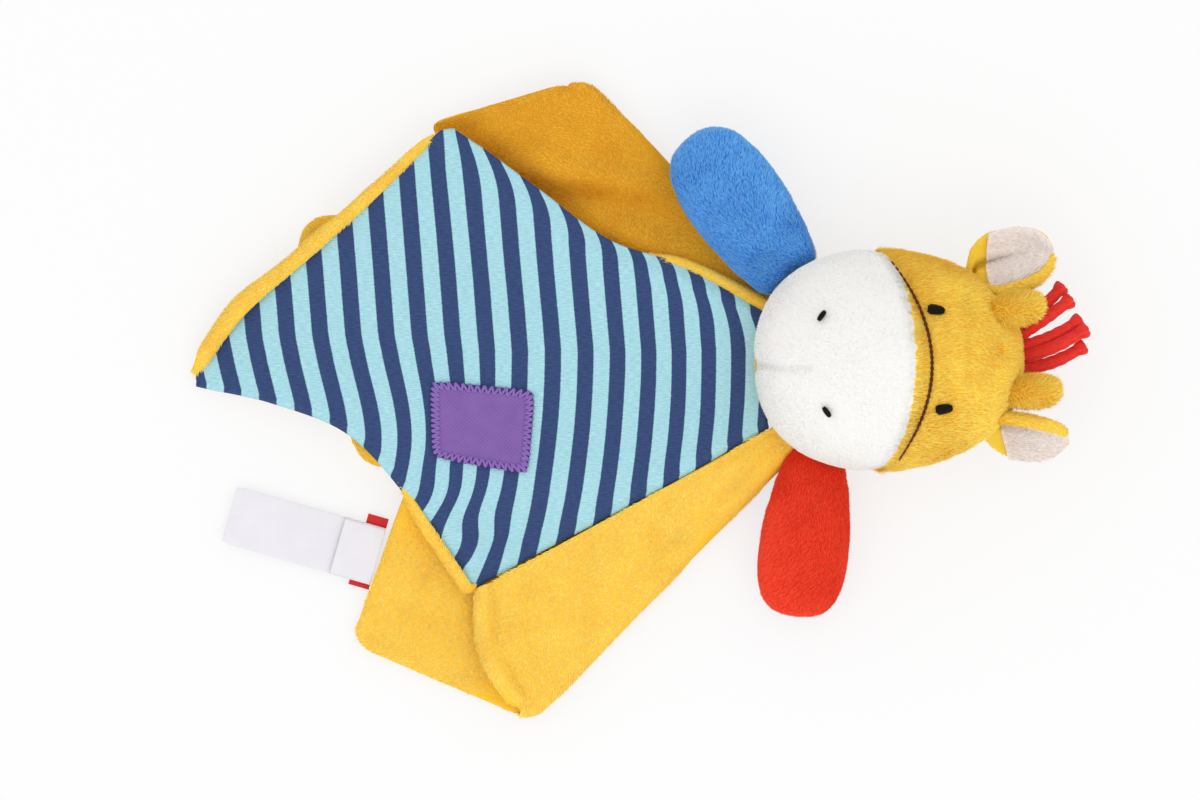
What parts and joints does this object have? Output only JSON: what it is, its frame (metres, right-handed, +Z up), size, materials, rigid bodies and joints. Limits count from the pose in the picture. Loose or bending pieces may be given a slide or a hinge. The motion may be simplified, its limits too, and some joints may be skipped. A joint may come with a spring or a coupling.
{
  "type": "plush comforter toy",
  "caption": "Plush comforter toy: stuffed animal head and arms on a folded double-layer cloth body with a striped front, sewn patch and hem labels.",
  "frame": {"origin": "centre of the outline on the surface the toy lies on", "axes": "+X from the free corner of the striped front to the crown of the head, +Y to the blue arm's side, +Z up, the way the face looks"},
  "size_m": [0.3056, 0.2176, 0.0615],
  "materials": {
    "yellow_plush": "short soft pile",
    "white_plush": "short soft pile",
    "ear_lining_plush": "short soft pile",
    "blue_plush": "short soft pile",
    "red_plush": "short soft pile",
    "striped_jersey": "fine knit with navy and pale blue stripes",
    "mane_cord": "knitted cord",
    "patch_fabric": "woven patch",
    "label_satin": "woven satin tape",
    "red_ribbon": "woven ribbon",
    "black_thread": "satin stitch",
    "brown_thread": "running stitch",
    "filling": "polyester fibre"
  },
  "bodies": {
    "blanket": {"back_outer": "yellow_plush", "back_lining": "yellow_plush", "lower_wing_outer": "yellow_plush", "lower_wing_lining": "yellow_plush", "upper_wing_outer": "yellow_plush", "upper_wing_lining": "yellow_plush", "front_panel": "striped_jersey", "front_lining": "yellow_plush", "patch": "patch_fabric", "patch_stitching": "patch_fabric"},
    "front_corner": {"front_tip": "striped_jersey", "front_tip_lining": "yellow_plush"},
    "labels": {"ribbon_loop": "red_ribbon", "care_label_long": "label_satin", "care_label_short": "label_satin"},
    "head": {"muzzle_panel": "white_plush", "face_panel": "yellow_plush", "head_back_panel": "yellow_plush", "head_filling": "filling", "right_eye": "black_thread", "left_eye": "black_thread", "right_nostril": "black_thread", "left_nostril": "black_thread", "mouth_stitch": "brown_thread", "right_horn_cover": "yellow_plush", "right_horn_filling": "filling", "left_horn_cover": "yellow_plush", "left_horn_filling": "filling"},
    "right_ear": {"right_ear_back": "yellow_plush", "right_ear_inside": "ear_lining_plush"},
    "left_ear": {"left_ear_back": "yellow_plush", "left_ear_inside": "ear_lining_plush"},
    "mane_upper": {"mane_upper_first": "mane_cord", "mane_upper_second": "mane_cord"},
    "mane_lower": {"mane_lower_first": "mane_cord", "mane_lower_second": "mane_cord", "mane_lower_third": "mane_cord"},
    "blue_arm": {"blue_arm_front": "blue_plush", "blue_arm_back": "blue_plush", "blue_arm_filling": "filling"},
    "red_arm": {"red_arm_front": "red_plush", "red_arm_back": "red_plush", "red_arm_filling": "filling"}
  },
  "joints": [
    {"name": "head_nod", "type": "hinge", "parent": "blanket", "child": "head", "pos_m": [0.04275, 0.01408, 0.019], "axis": [0, -1, 0], "range_deg": [0, 45]},
    {"name": "blue_arm_lift", "type": "hinge", "parent": "blanket", "child": "blue_arm", "pos_m": [0.05325, 0.0429, 0.0259], "axis": [0.809, 0.5878, 0], "range_deg": [0, 35]},
    {"name": "red_arm_lift", "type": "hinge", "parent": "blanket", "child": "red_arm", "pos_m": [0.06175, -0.0196, 0.0158], "axis": [-0.9925, 0.1219, 0], "range_deg": [0, 35]},
    {"name": "right_ear_fold", "type": "hinge", "parent": "head", "child": "right_ear", "pos_m": [0.1164, 0.04463, 0.03227], "axis": [0.2756, -0.9613, 0], "range_deg": [-20, 20]},
    {"name": "left_ear_fold", "type": "hinge", "parent": "head", "child": "left_ear", "pos_m": [0.12042, -0.01103, 0.02906], "axis": [-0.0872, -0.9962, 0], "range_deg": [-20, 20]},
    {"name": "mane_upper_swing", "type": "hinge", "parent": "head", "child": "mane_upper", "pos_m": [0.13065, 0.02513, 0.0275], "axis": [0, -1, 0], "range_deg": [-25, 10]},
    {"name": "mane_lower_swing", "type": "hinge", "parent": "head", "child": "mane_lower", "pos_m": [0.13207, 0.01408, 0.0275], "axis": [0, -1, 0], "range_deg": [-25, 10]},
    {"name": "label_flap", "type": "hinge", "parent": "blanket", "child": "labels", "pos_m": [-0.08523, -0.05187, 0.00395], "axis": [0.2756, 0.9613, 0], "range_deg": [0, 100]},
    {"name": "front_corner_fold", "type": "hinge", "parent": "blanket", "child": "front_corner", "pos_m": [-0.07525, 0.02568, 0.0138], "axis": [0, 1, 0], "range_deg": [0, 120]}
  ]
}
